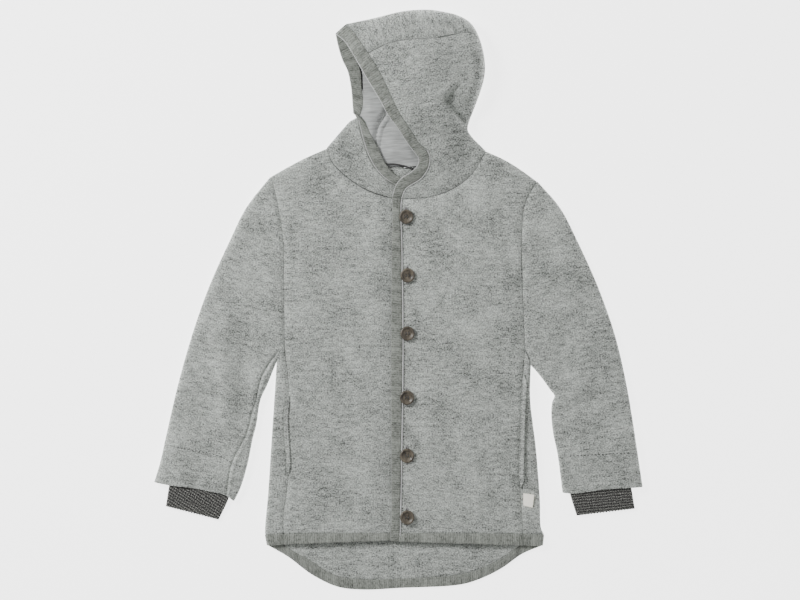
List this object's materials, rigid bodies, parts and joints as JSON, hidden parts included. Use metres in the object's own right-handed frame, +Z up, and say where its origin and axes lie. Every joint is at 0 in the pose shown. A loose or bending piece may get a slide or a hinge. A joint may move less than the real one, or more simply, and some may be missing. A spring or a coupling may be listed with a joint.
{
  "type": "child's hooded boiled wool jacket",
  "caption": "Child's hooded jacket in grey boiled wool, lying flat: buttoned front, knit-bound edges, ribbed cuffs, curved longer back hem.",
  "frame": {"origin": "middle of the outline in plan, on the surface that the jacket lies on", "axes": "+X towards the wearer's left side (the viewer's right), +Y towards the hood, +Z up, away from the surface"},
  "size_m": [0.6102, 0.7237, 0.031],
  "materials": {
    "wool": "light grey melange boiled wool, matt and fuzzy",
    "lining": "light grey jersey, matt",
    "binding": "fine grey knit, matt, small cross ribs",
    "rib": "dark grey melange rib knit, matt",
    "horn": "dark brown-grey horn look, glossy raised rim",
    "label": "ivory woven ribbon, blank"
  },
  "bodies": {
    "root": {"hood_lining": "lining", "hood_side_left": "wool", "hood_centre": "wool", "hood_side_right": "wool", "front_right": "wool", "front_left": "wool", "back": "wool", "sleeve_right": "wool", "sleeve_left": "wool", "cuff_right": "rib", "cuff_left": "rib", "binding_front_left": "binding", "binding_front_right": "binding", "hem_binding_front_right": "binding", "hem_binding_front_left": "binding", "hem_binding_back": "binding", "binding_hood": "binding", "side_label": "label", "button_1": "horn", "button_2": "horn", "button_3": "horn", "button_4": "horn", "button_5": "horn", "button_6": "horn"}
  },
  "joints": []
}
